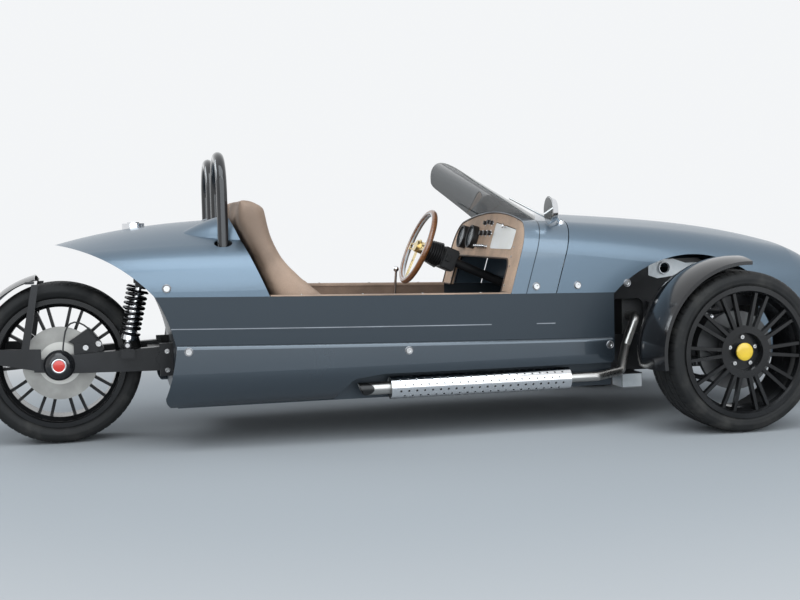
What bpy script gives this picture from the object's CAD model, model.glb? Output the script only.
"""Open three-wheeled car: finishes, trim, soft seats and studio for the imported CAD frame."""

from math import atan2, ceil, cos, pi, radians, sin, sqrt

import bmesh
import bpy
from mathutils import Matrix, Vector


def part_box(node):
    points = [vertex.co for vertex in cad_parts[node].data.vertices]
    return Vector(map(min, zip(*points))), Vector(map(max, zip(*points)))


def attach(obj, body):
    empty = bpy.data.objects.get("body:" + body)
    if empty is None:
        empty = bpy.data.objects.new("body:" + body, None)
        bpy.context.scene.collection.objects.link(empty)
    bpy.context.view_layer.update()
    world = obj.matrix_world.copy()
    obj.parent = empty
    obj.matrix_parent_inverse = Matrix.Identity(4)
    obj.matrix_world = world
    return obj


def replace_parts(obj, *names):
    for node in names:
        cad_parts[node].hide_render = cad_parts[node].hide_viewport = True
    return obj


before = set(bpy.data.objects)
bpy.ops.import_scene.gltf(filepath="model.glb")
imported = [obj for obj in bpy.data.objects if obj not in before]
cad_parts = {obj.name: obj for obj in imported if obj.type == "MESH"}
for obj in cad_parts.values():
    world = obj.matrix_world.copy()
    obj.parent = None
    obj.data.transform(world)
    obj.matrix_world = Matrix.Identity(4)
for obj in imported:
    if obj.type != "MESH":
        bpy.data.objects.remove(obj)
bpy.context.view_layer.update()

bl_info = {
    "name": "Three-wheeled Roadster",
    "version": (1, 0, 0),
    "blender": (4, 5, 0),
    "location": "3D View > Sidebar > Roadster",
    "description": "Builds the finishes, trim, seats and studio of an open three-wheeled car",
    "category": "Add Mesh",
}

SIDES = (-1, 1)
NAMED_SIDES = (("right", -1), ("left", 1))

# Axles, in metres: +X forward, +Y left, +Z up
REAR_AXLE_X, REAR_AXLE_Z = -1.399, 0.322
WHEEL_X, FRONT_WHEEL_Y, FRONT_AXLE_Z = 1.191, 0.733, 0.316

# The body's side: half width at its widest station, and how fast it narrows from there
WIDEST_HALF, WIDEST_STATION, NARROWING = 0.533, 1.25, 0.0421
WALL = 0.045

# The dashboard's lean from upright, as a cosine and a sine
LEAN_COS, LEAN_SIN = 0.9612, 0.2759
DASH_OUT = Vector((-LEAN_COS, 0, LEAN_SIN))
DASH_UP = Vector((LEAN_SIN, 0, LEAN_COS))

# The exhaust shields' tubes
SHIELD_Y, SHIELD_Z, SHIELD_RADIUS, SHIELD_WALL = 0.505, 0.208, 0.044, 0.002


def ahead(x):
    """Row X of a station ahead of the rear axle."""
    return x + REAR_AXLE_X


def body_half(x):
    """Half width of the body's side at a station."""
    return WIDEST_HALF - NARROWING * (x - WIDEST_STATION) ** 2


def sill(x):
    """Height of the body's sill line at a station."""
    return 0.6 - 0.025 * x


def on_dash(across, up, out):
    """Place on the dashboard's face: across to the left, up the face, out of it to the rear."""
    foot = Vector((ahead(1.745), across, sill(1.745)))
    return foot + DASH_UP * up + DASH_OUT * (out - 0.004)


# Node building


class Term:
    """A node's socket that takes part in sums; each operator adds its Math node."""

    def __init__(self, owner, socket):
        self.owner = owner
        self.socket = socket

    def math(self, operation, *values):
        return self.owner.node("ShaderNodeMath", {"operation": operation}, dict(enumerate(values)))

    def __add__(self, other):
        return self.math("ADD", self, other)

    def __sub__(self, other):
        return self.math("SUBTRACT", self, other)

    def __rsub__(self, other):
        return self.math("SUBTRACT", other, self)

    def __mul__(self, other):
        return self.math("MULTIPLY", self, other)

    __radd__ = __add__
    __rmul__ = __mul__

    def unsigned(self):
        """The value without its sign."""
        return self.math("ABSOLUTE", self)

    def smooth(self, low, high):
        """0 below low, 1 above high, eased between them."""
        settings = {"interpolation_type": "SMOOTHSTEP"}
        values = {"Value": self, "From Min": low, "From Max": high}
        return self.owner.node("ShaderNodeMapRange", settings, values, "Result")

    def beside(self, output):
        """Another output of the same node."""
        return Term(self.owner, self.socket.node.outputs[output])


class Nodes:
    """A node tree and the one way to add a node to it."""

    def __init__(self, tree):
        self.tree = tree

    def node(self, kind, settings, values, output=0):
        """Output of a new node, whose settings are made first and then its sockets."""
        node = self.tree.nodes.new(kind)
        for key, value in settings.items():
            setattr(node, key, value)
        for key, value in values.items():
            if isinstance(value, Term):
                self.tree.links.new(value.socket, node.inputs[key])
            else:
                node.inputs[key].default_value = value
        return None if output is None else Term(self, node.outputs[output])

    def seen_rays(self):
        """1 for the rays of the camera, of reflections and of what is seen through glass."""
        seen = self.node("ShaderNodeLightPath", {}, {}, "Is Camera Ray")
        glossy, through = seen.beside("Is Glossy Ray"), seen.beside("Is Transmission Ray")
        return seen.math("MAXIMUM", seen.math("MAXIMUM", seen, glossy), through)


class Finish(Nodes):
    """A material with its principled shader and the ways to feed it."""

    def __init__(self, name, colour, **constants):
        self.material = bpy.data.materials.new(name)
        self.material.use_nodes = True
        self.material.diffuse_color = (*colour, 1.0)
        super().__init__(self.material.node_tree)
        self.shader = self.tree.nodes["Principled BSDF"]
        self.shader.inputs["Base Color"].default_value = (*colour, 1.0)
        for socket, value in constants.items():
            self.shader.inputs[socket.replace("_", " ")].default_value = value

    def place(self, stretch=(1, 1, 1), shift=(0, 0, 0)):
        """Object coordinates, stretched and moved."""
        where = self.node("ShaderNodeTexCoord", {}, {}, "Object")
        return self.node("ShaderNodeMapping", {}, {"Vector": where, "Scale": stretch, "Location": shift})

    def split(self, vector):
        """X, Y and Z of a vector."""
        x = self.node("ShaderNodeSeparateXYZ", {}, {0: vector}, "X")
        return x, x.beside("Y"), x.beside("Z")

    def noise(self, scale, detail=3.0, place=None, rough=0.5):
        values = {"Vector": place or self.place(), "Scale": scale, "Detail": detail, "Roughness": rough}
        return self.node("ShaderNodeTexNoise", {}, values, "Fac")

    def cells(self, scale, feature="F1", output="Distance"):
        return self.node("ShaderNodeTexVoronoi", {"feature": feature}, {"Vector": self.place(), "Scale": scale}, output)

    def mix(self, share, a, b):
        """Colour between two colours."""
        a, b = (colour if isinstance(colour, Term) else (*colour, 1.0) for colour in (a, b))
        return self.node("ShaderNodeMix", {"data_type": "RGBA"}, {0: share, 6: a, 7: b}, 2)

    def feed(self, socket, term):
        self.tree.links.new(term.socket, self.shader.inputs[socket])

    def feed_base(self, share, other):
        """Mixes another colour over what feeds the base colour."""
        base = Term(self, self.shader.inputs["Base Color"].links[0].from_socket)
        self.feed("Base Color", self.mix(share, base, other))

    def bump(self, height, strength, distance):
        values = {"Height": height, "Strength": strength, "Distance": distance}
        self.feed("Normal", self.node("ShaderNodeBump", {}, values))


def shade(colour, gain, lift=0.0):
    """A colour made lighter or darker."""
    return tuple(min(1.0, channel * gain + lift) for channel in colour)


def paint(name, colour, roughness=0.36, metallic=0.75, flake=0.35, coat=1.0):
    """Metallic body paint with fine flakes under clear lacquer and a faint orange peel."""
    made = Finish(name, colour, Metallic=metallic, Coat_Roughness=0.04, Coat_Weight=coat)
    spark = made.cells(2600.0, output="Color")
    grey = made.node("ShaderNodeRGBToBW", {}, {"Color": spark})
    made.feed("Base Color", made.mix(grey * flake, colour, shade(colour, 2.1)))
    made.feed("Roughness", made.noise(3.0) * 0.06 + (roughness - 0.03))
    made.bump(made.noise(900.0, 1.0), 0.03, 0.0002)
    return made


def seamed_paint(name, colour, coat):
    """Body paint with the thin dark shut line that runs down beside the cowl's seam."""
    made = paint(name, colour, coat=coat)
    x, _, z = made.split(made.place())
    ahead_of_seam = x * LEAN_COS - z * LEAN_SIN - 0.241
    inside = 1 - ahead_of_seam.unsigned().smooth(0.0012, 0.0026)
    made.feed_base(inside * 0.85, (0.01, 0.012, 0.014))
    made.feed("Coat Weight", 1 - inside * 0.9)
    return made


def moulded(name, colour, roughness=0.45, grain=900.0, depth=0.0001, metallic=0.0, coat=0.0, shine=0.5):
    """Moulded or powder-coated surface with a fine grain and uneven sheen."""
    sheen = {"Metallic": metallic, "Coat_Weight": coat, "Coat_Roughness": 0.08, "Specular_IOR_Level": shine}
    made = Finish(name, colour, **sheen)
    patch = made.noise(6.0, 4.0)
    made.feed("Base Color", made.mix(patch.smooth(0.35, 0.75), colour, shade(colour, 1.5, 0.004)))
    made.feed("Roughness", patch * 0.16 + (roughness - 0.08))
    made.bump(made.noise(grain, 2.0), 0.25, depth)
    return made


def metal(name, colour, roughness=0.2, streak=(1, 1, 1), depth=0.00005):
    """Bare or plated metal with faint streaks and smudges."""
    made = Finish(name, colour, Metallic=1.0)
    smudge = made.noise(9.0, 5.0)
    line = made.noise(240.0, 3.0, made.place(streak))
    made.feed("Roughness", smudge.smooth(0.3, 0.8) * 0.12 + line * 0.08 + (roughness - 0.07))
    made.feed("Base Color", made.mix(line, shade(colour, 0.82), colour))
    made.bump(line, 0.2, depth)
    return made


def tail_steel(name, colour, roughness):
    """Exhaust steel, straw-tinted, with the tail pipe's slanted mouth dark inside a bright lip."""
    made = metal(name, colour, roughness)
    x, y, _ = made.split(made.place())
    mouth = ((y.unsigned() - SHIELD_Y) * 1.5 - x + ahead(1.147)).smooth(0.0015, 0.003)
    made.feed_base(mouth, (0.006, 0.006, 0.006))
    made.feed("Metallic", 1 - mouth)
    return made


def turned_disc(name, colour, hub):
    """Brake disc with turned rings round its axle and a brighter carrier near the hub."""
    made = Finish(name, colour, Metallic=0.8)
    x, _, z = made.split(made.place((1, 1, 1), (-hub[0], 0, -hub[1])))
    radius = x.math("SQRT", x * x + z * z)
    grey = made.noise(14.0, 4.0)
    tone = made.mix(grey.smooth(0.3, 0.7), shade(colour, 0.85), shade(colour, 1.15))
    carrier = radius.smooth(0.083, 0.085)
    made.feed("Base Color", made.mix(carrier, shade(colour, 1.9), tone))
    groove = x.math("SINE", radius * 2400.0)
    made.feed("Roughness", grey * 0.15 + groove * 0.03 + 0.4)
    made.bump(groove * 0.5 + carrier + grey, 0.15, 0.0002)
    return made


def hide(name, colour):
    """Leather with pebbled grain, soft wrinkles and worn lighter patches."""
    made = Finish(name, colour, Specular_IOR_Level=0.35)
    grain = made.cells(420.0, "DISTANCE_TO_EDGE")
    broad = made.noise(5.0, 5.0)
    wrinkle = made.noise(46.0, 3.0)
    tone = made.mix(broad.smooth(0.3, 0.7), shade(colour, 0.72), shade(colour, 1.28, 0.01))
    crease = (1 - grain.smooth(0.0, 0.09)) * 0.5
    made.feed("Base Color", made.mix(crease, tone, shade(colour, 0.5)))
    made.feed("Roughness", broad * 0.22 + 0.42)
    made.bump(grain.smooth(0.0, 0.16) + wrinkle * 0.8, 0.35, 0.0006)
    return made


def rubber(name, colour):
    """Tyre rubber, dusty in the lows."""
    made = Finish(name, colour, Specular_IOR_Level=0.3)
    dust = made.noise(14.0, 6.0)
    made.feed("Base Color", made.mix(dust.smooth(0.42, 0.85), colour, (0.05, 0.047, 0.043)))
    made.feed("Roughness", dust * 0.25 + 0.55)
    made.bump(made.noise(520.0, 3.0), 0.3, 0.0003)
    return made


def glazing(name, colour, alpha, roughness=0.02, coat=1.0):
    """Thin tinted glass or lens."""
    made = Finish(name, colour, IOR=1.45, Coat_Weight=coat, Coat_Roughness=0.02, Alpha=alpha)
    made.feed("Roughness", made.noise(160.0, 4.0).smooth(0.5, 0.9) * 0.05 + roughness)
    return made


def timber(name, colour):
    """Varnished wood with growth lines running round the rim."""
    made = Finish(name, colour, Coat_Weight=1.0, Coat_Roughness=0.05)
    grain = made.noise(34.0, 6.0, made.place((1, 1, 9)), 0.7)
    made.feed("Base Color", made.mix(grain.smooth(0.35, 0.65), colour, shade(colour, 2.0)))
    made.feed("Roughness", grain * 0.15 + 0.25)
    made.bump(grain, 0.15, 0.0002)
    return made


FINISHES = {}


def dress(mesh, finish_name):
    """Gives a mesh one finish."""
    mesh.materials.clear()
    mesh.materials.append(FINISHES[finish_name].material)


# Mesh building


def add_piece(name, mesh, finish_name, slot, body, angle):
    """Piece of a mesh on a body, smooth inside an angle."""
    piece = bpy.data.objects.new(name, mesh)
    bpy.context.scene.collection.objects.link(piece)
    dress(mesh, finish_name)
    if angle:
        mesh.shade_smooth()
        mesh.set_sharp_from_angle(angle=radians(angle))
    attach(piece, body)
    return piece


def from_bmesh(name, shape, finish_name, slot, body="chassis", angle=35.0):
    """Piece of a bmesh, closed where its points meet and facing outward."""
    bmesh.ops.remove_doubles(shape, verts=shape.verts, dist=1e-6)
    bmesh.ops.recalc_face_normals(shape, faces=shape.faces)
    mesh = bpy.data.meshes.new(name)
    shape.to_mesh(mesh)
    shape.free()
    return add_piece(name, mesh, finish_name, slot, body, angle)


def join_rows(shape, a, b, closed=True):
    """Faces between two rows of points."""
    for i in range(len(a) if closed else len(a) - 1):
        j = (i + 1) % len(a)
        shape.faces.new((a[i], a[j], b[j], b[i]))


def bar_through(shape, rows):
    """Closed bar through rows of points, with its ends filled."""
    for a, b in zip(rows, rows[1:]):
        join_rows(shape, a, b)
    shape.faces.new(rows[0][::-1])
    shape.faces.new(rows[-1])


def side_bar(shape, side, start, end, steps, section):
    """Bar along the body's side between two stations, with its outline from section(x)."""
    rows = []
    for k in range(steps + 1):
        x = start + (end - start) * k / steps
        rows.append([shape.verts.new((ahead(x), side * y, z)) for y, z in section(x)])
    bar_through(shape, rows)


def lathe(shape, points, centre, way, steps=64, closed=True):
    """Surface of revolution from (along, radius) points about a line."""
    turn = Vector(way).to_track_quat("Z", "Y").to_matrix()
    rings = []
    for k in range(steps):
        c, s = cos(2 * pi * k / steps), sin(2 * pi * k / steps)
        spots = (turn @ Vector((radius * c, radius * s, along)) + Vector(centre) for along, radius in points)
        rings.append([shape.verts.new(spot) for spot in spots])
    for a, b in zip(rings, rings[1:] + rings[:1]):
        join_rows(shape, a, b, closed)


def turned(name, finish_name, slot, turns, body="chassis", angle=35.0):
    """Piece of surfaces of revolution, each given as lathe() takes it."""
    shape = bmesh.new()
    for turn in turns:
        lathe(shape, *turn)
    return from_bmesh(name, shape, finish_name, slot, body, angle)


def tube(shape, path, radius, sides=10):
    """Round tube through a list of points."""
    path = [Vector(p) for p in path]
    up = Vector((0, 0, 1))
    rings = []
    for i, spot in enumerate(path):
        way = (path[min(i + 1, len(path) - 1)] - path[max(i - 1, 0)]).normalized()
        across = way.cross(up)
        if across.length < 1e-3:
            across = way.cross(Vector((0, 1, 0)))
        across.normalize()
        up = across.cross(way).normalized()
        angles = (2 * pi * k / sides for k in range(sides))
        rings.append([shape.verts.new(spot + (across * cos(a) + up * sin(a)) * radius) for a in angles])
    bar_through(shape, rings)


def box_of(shape, low, high):
    """Points of a closed box between two corners."""
    low, high = Vector(low), Vector(high)
    verts = bmesh.ops.create_cube(shape, size=1.0)["verts"]
    for vert in verts:
        vert.co = vert.co * (high - low) + (high + low) / 2
    return verts


def round_edges(shape, verts, offset, segments, pick=lambda edge: True):
    """Rounds the picked edges at some points."""
    edges = dict.fromkeys(edge for vert in verts for edge in vert.link_edges if pick(edge))
    bmesh.ops.bevel(shape, geom=list(edges), offset=offset, segments=segments, affect="EDGES")


def arc(start, through, end, steps):
    """Points along the arc through three points of a plane, without its first."""
    (ax, ay), (bx, by), (cx, cy) = start, through, end
    d = 2 * (ax * (by - cy) + bx * (cy - ay) + cx * (ay - by))
    a2, b2, c2 = ax * ax + ay * ay, bx * bx + by * by, cx * cx + cy * cy
    ux = (a2 * (by - cy) + b2 * (cy - ay) + c2 * (ay - by)) / d
    uy = (a2 * (cx - bx) + b2 * (ax - cx) + c2 * (bx - ax)) / d
    radius = sqrt((ax - ux) ** 2 + (ay - uy) ** 2)
    first, middle, last = (atan2(y - uy, x - ux) for x, y in (start, through, end))
    sweep = (last - first) % (2 * pi)
    if (middle - first) % (2 * pi) > sweep:
        sweep -= 2 * pi
    angles = (first + sweep * k / steps for k in range(1, steps + 1))
    return [(ux + radius * cos(angle), uy + radius * sin(angle)) for angle in angles]


def outer_loop(node, way):
    """Points of the longest outline of a CAD node's flat face that looks along a way."""
    shape = bmesh.new()
    shape.from_mesh(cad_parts[node].data)
    bmesh.ops.remove_doubles(shape, verts=shape.verts, dist=1e-5)
    way = way.normalized()
    facing = {face for face in shape.faces if face.normal.dot(way) > 0.999}
    level = max(face.calc_center_median().dot(way) for face in facing)
    facing = {face for face in facing if face.calc_center_median().dot(way) > level - 0.001}
    left = dict.fromkeys(edge for edge in shape.edges if sum(face in facing for face in edge.link_faces) == 1)
    loops = []
    while left:
        edge = next(iter(left))
        first, vert = edge.verts
        loop = [first.co.copy()]
        while edge:
            del left[edge]
            loop.append(vert.co.copy())
            edge = None if vert is first else next((e for e in vert.link_edges if e in left), None)
            vert = edge.other_vert(vert) if edge else None
        loops.append(loop)
    shape.free()
    return max(loops, key=lambda loop: sum((b - a).length for a, b in zip(loop, loop[1:])))


# Repeats by Geometry Nodes


def repeated(name, places, ways, finish_name, form, inputs):
    """Mesh of a form's copies at places, each turned along its way."""
    mesh = bpy.data.meshes.new(name + "_places")
    mesh.from_pydata([Vector(p) for p in places], [], [])
    for point, way in zip(mesh.attributes.new("way", "FLOAT_VECTOR", "POINT").data, ways):
        point.vector = way
    source = bpy.data.objects.new(name + "_source", mesh)
    bpy.context.scene.collection.objects.link(source)
    tree = bpy.data.node_groups.new(name, "GeometryNodeTree")
    for way_in in ("INPUT", "OUTPUT"):
        tree.interface.new_socket("Geometry", in_out=way_in, socket_type="NodeSocketGeometry")
    modifier = source.modifiers.new(name, "NODES")
    keys = {}
    for label, value in inputs.items():
        kind = "NodeSocketFloat" if isinstance(value, float) else "NodeSocketObject"
        keys[label] = tree.interface.new_socket(label, in_out="INPUT", socket_type=kind).identifier
    made = Nodes(tree)
    entry = made.node("NodeGroupInput", {}, {}, "Geometry")
    way = made.node("GeometryNodeInputNamedAttribute", {"data_type": "FLOAT_VECTOR"}, {"Name": "way"}, "Attribute")
    turn = made.node("FunctionNodeAlignRotationToVector", {"axis": "Z"}, {"Vector": way})
    points = made.node("GeometryNodeMeshToPoints", {}, {"Mesh": entry})
    links = {"Points": points, "Instance": form(made, entry), "Rotation": turn}
    copies = made.node("GeometryNodeInstanceOnPoints", {}, links)
    real = made.node("GeometryNodeRealizeInstances", {}, {"Geometry": copies})
    coat = {"Geometry": real, "Material": FINISHES[finish_name].material}
    made.node("NodeGroupOutput", {}, {"Geometry": made.node("GeometryNodeSetMaterial", {}, coat)}, None)
    modifier.node_group = tree
    for label, value in inputs.items():
        modifier[keys[label]] = value
    view = bpy.context.evaluated_depsgraph_get()
    copied = bpy.data.meshes.new_from_object(source.evaluated_get(view))
    copied.name = name
    copied.attributes.remove(copied.attributes["way"])
    bpy.data.objects.remove(source)
    return copied


def button_head(made, entry):
    """Flat-headed bolt with a round socket sunk in its top."""
    height = entry.beside("Head height")
    sizes = {"Vertices": 24, "Radius": entry.beside("Head radius"), "Depth": height}
    disc = made.node("GeometryNodeMeshCylinder", {}, sizes, "Mesh")
    top = {"Mesh": disc, "Selection": disc.beside("Top"), "Offset Scale": 0.0}
    cap = made.node("GeometryNodeExtrudeMesh", {"mode": "FACES"}, top, "Mesh")
    inset = cap.beside("Top")
    shrunk = made.node("GeometryNodeScaleElements", {}, {"Geometry": cap, "Selection": inset, "Scale": 0.55})
    sunk = {"Mesh": shrunk, "Selection": inset, "Offset Scale": height * -0.6}
    return made.node("GeometryNodeExtrudeMesh", {"mode": "FACES"}, sunk, "Mesh")


def bolts(name, places, ways, radius, height, body="chassis"):
    """Bolt or screw heads on a body."""
    sizes = {"Head radius": radius, "Head height": height}
    mesh = repeated(name, places, ways, "bolt_steel", button_head, sizes)
    add_piece(name, mesh, "bolt_steel", "chrome", body, 35.0)


# Settings a user would change


def colour_setting(label, description, default):
    return bpy.props.FloatVectorProperty(
        name=label, description=description, subtype="COLOR", size=3, min=0.0, max=1.0, default=default)


def length_setting(label, description, default):
    return bpy.props.FloatProperty(name=label, description=description, unit="LENGTH", default=default)


def count_setting(label, description, default, low, high):
    return bpy.props.IntProperty(name=label, description=description, default=default, min=low, max=high)


def power_setting(label, description, default):
    return bpy.props.FloatProperty(name=label, description=description, default=default, min=0.0)


class CarLooks(bpy.types.PropertyGroup):
    """Colours and small sizes of the car's finish."""

    paint_colour: colour_setting(
        "Upper paint", "Metallic colour of the cowl, bonnet and tail", (0.105, 0.145, 0.185))
    tub_colour: colour_setting("Tub paint", "Satin colour of the tub's sides", (0.022, 0.031, 0.04))
    panel_colour: colour_setting(
        "Lower panel paint", "Metallic colour of the lower side panels", (0.046, 0.06, 0.074))
    leather_colour: colour_setting("Leather", "Colour of the seats and trim", (0.37, 0.255, 0.185))
    bolt_radius: length_setting("Bolt head radius", "Radius of the body's bolt heads", 0.0115)
    stripe_height: length_setting("Stripe height", "Height of the thin stripe on the tub", 0.0035)
    tread_blocks: count_setting("Tread blocks", "Blocks round each tyre's shoulder", 64, 24, 90)
    tread_depth: length_setting("Tread depth", "Depth of the tyres' grooves", 0.005)
    spring_turns: bpy.props.FloatProperty(
        name="Spring turns", description="Turns of each coil spring", default=7.5, min=2.0, max=14.0)
    shield_holes: count_setting("Shield holes", "Holes along each row of the exhaust shields", 22, 4, 60)
    hole_radius: length_setting("Shield hole radius", "Radius of the shields' holes", 0.0045)
    back_swell: length_setting("Back padding", "Furthest that a seat back's cover may swell", 0.012)
    cushion_swell: length_setting("Cushion padding", "Furthest that a cushion's cover may swell", 0.014)
    cover_mesh: length_setting("Cover mesh", "Mesh size of the seat covers before they swell", 0.0085)


class StudioLooks(bpy.types.PropertyGroup):
    """Light and backdrop."""

    floor_colour: colour_setting("Floor", "Colour of the floor near the car", (0.42, 0.43, 0.44))
    backdrop_colour: colour_setting("Backdrop", "Colour that the floor fades into", (0.9, 0.915, 0.93))
    key_power: power_setting("Key light", "Power of the large light above", 110.0)
    side_power: power_setting("Side light", "Power of the wide light on the near side", 860.0)
    fill_strength: power_setting("Fill", "Strength of the even light from all round", 0.42)


def looks():
    return bpy.context.scene.car_looks


# Steps of the build


class CAR_OT_stage(bpy.types.Operator):
    """Make the camera, the floor, the backdrop and the lights"""

    bl_idname = "car.stage"
    bl_label = "Studio"

    def execute(self, context):
        scene, studio = context.scene, context.scene.studio_looks
        scene.view_settings.view_transform = "Standard"
        self.add_camera(scene)
        backdrop = (*studio.backdrop_colour, 1.0)
        self.add_floor(scene, studio, backdrop)
        self.add_sky(scene, studio, backdrop)
        self.add_lamps(scene, studio)
        return {"FINISHED"}

    def add_camera(self, scene):
        lens = bpy.data.cameras.new("view_camera")
        lens.sensor_width, lens.lens = 36.0, 54.67
        lens.clip_start, lens.clip_end = 0.1, 200.0
        camera = bpy.data.objects.new("view_camera", lens)
        scene.collection.objects.link(camera)
        eye = (-1.174, -5.085, 0.84)
        yaw, pitch, roll = radians(13.17), radians(-3.56), radians(1.34)
        forward = Vector((sin(yaw) * cos(pitch), cos(yaw) * cos(pitch), sin(pitch)))
        level = Vector((cos(yaw), -sin(yaw), 0))
        down = forward.cross(level)
        right, down = level * cos(roll) + down * sin(roll), down * cos(roll) - level * sin(roll)
        turn = Matrix((right, -down, -forward)).transposed()
        camera.matrix_world = Matrix.Translation(eye) @ turn.to_4x4()
        scene.camera = camera

    def add_floor(self, scene, studio, backdrop):
        """Pale floor that fades into the backdrop away from the car."""
        ground = Finish("pale_floor", tuple(studio.floor_colour), Roughness=0.9, Specular_IOR_Level=0.1)
        where = ground.node("ShaderNodeTexCoord", {}, {}, "Object")
        reach = ground.node("ShaderNodeVectorMath", {"operation": "LENGTH"}, {0: where}, "Value")
        fade = reach.smooth(1.6, 5.2) * ground.seen_rays()
        haze = ground.node("ShaderNodeEmission", {}, {"Color": backdrop})
        lit = Term(ground, ground.shader.outputs[0])
        blend = ground.node("ShaderNodeMixShader", {}, {0: fade, 1: lit, 2: haze})
        ground.tree.links.new(blend.socket, ground.tree.nodes["Material Output"].inputs["Surface"])
        size = 60.0
        mesh = bpy.data.meshes.new("floor")
        corners = [(-size, -size, 0), (size, -size, 0), (size, size, 0), (-size, size, 0)]
        mesh.from_pydata(corners, [], [(0, 1, 2, 3)])
        mesh.materials.append(ground.material)
        floor = bpy.data.objects.new("floor", mesh)
        scene.collection.objects.link(floor)

    def add_sky(self, scene, studio, backdrop):
        """Pale backdrop for the rays that see it, and an even fill for the rest."""
        scene.world = scene.world or bpy.data.worlds.new("studio")
        scene.world.use_nodes = True
        sky = Nodes(scene.world.node_tree)
        sky.tree.nodes.clear()
        back = sky.node("ShaderNodeBackground", {}, {"Color": backdrop, "Strength": 1.0})
        faint = {"Color": (0.82, 0.91, 1.0, 1.0), "Strength": studio.fill_strength}
        fill = sky.node("ShaderNodeBackground", {}, faint)
        blend = sky.node("ShaderNodeMixShader", {}, {0: sky.seen_rays(), 1: fill, 2: back})
        sky.node("ShaderNodeOutputWorld", {}, {"Surface": blend}, None)

    def add_lamps(self, scene, studio):
        for name, place, aim, size, power in (
            ("key_light", (-0.5, -2.2, 4.6), (0.0, 0.0, 0.3), (5.0, 2.5), studio.key_power),
            ("side_light", (0.4, -8.6, 4.3), (0.2, 0.0, 0.9), (17.0, 8.4), studio.side_power),
            ("rear_light", (-4.4, 2.4, 3.0), (-0.6, 0.0, 0.5), (3.0, 1.5), 60.0),
        ):
            lamp = bpy.data.lights.new(name, "AREA")
            lamp.shape = "RECTANGLE"
            lamp.size, lamp.size_y = size
            lamp.energy = power
            lamp.color = (0.86, 0.94, 1.0)
            light = bpy.data.objects.new(name, lamp)
            light.visible_camera = False
            scene.collection.objects.link(light)
            light.location = place
            light.rotation_mode = "QUATERNION"
            light.rotation_quaternion = (Vector(aim) - Vector(place)).to_track_quat("-Z", "Y")


NODE_FINISHES = {
    "upper_paint": ("bonnet", "lower_nose", "tail_shell"),
    "cowl_paint": ("cowl",),
    "tub_paint": ("tub",),
    "panel_paint": ("lower_panels",),
    "bright_chrome": ("grille", "mirrors", "filler_cap", "exhaust_shields", "shift_lever"),
    "clear_glass": ("headlamps",),
    "amber_lens": ("signal_lamps",),
    "red_lens": ("tail_lamp",),
    "smoked_glass": ("windscreen",),
    "tan_leather": ("seat_backs", "seat_cushions"),
    "dash_leather": ("dashboard",),
    "hoop_black": ("roll_hoops",),
    "door_cream": ("glovebox_door",),
    "brass": ("steering_wheel_spokes",),
    "wood": ("steering_wheel_rim",),
    "brushed_alloy": ("screen_rods",),
    "core_alloy": ("radiator",),
    "black_moulding": ("instruments", "steering_column", "seat_panel"),
    "frame_black": ("front_subframe", "wishbones", "swingarm", "tail_beam", "plate_holder", "rear_axle"),
    "guard_black": ("front_mudguard_left", "front_mudguard_right", "rear_mudguard"),
    "spring_steel": ("front_coilovers", "rear_shocks", "half_shafts", "tie_rods", "pedals"),
    "exhaust_steel": ("exhaust_left", "exhaust_right"),
    "cast_block": ("engine",),
    "cast_knuckle": ("knuckle_left", "knuckle_right"),
    "front_disc_iron": ("front_disc_left", "front_disc_right"),
    "rear_disc_iron": ("rear_disc",),
    "rim_black": ("front_rim_left", "front_rim_right", "rear_rim"),
    "tyre_rubber": ("front_tyre_left", "front_tyre_right", "rear_tyre"),
}


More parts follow.
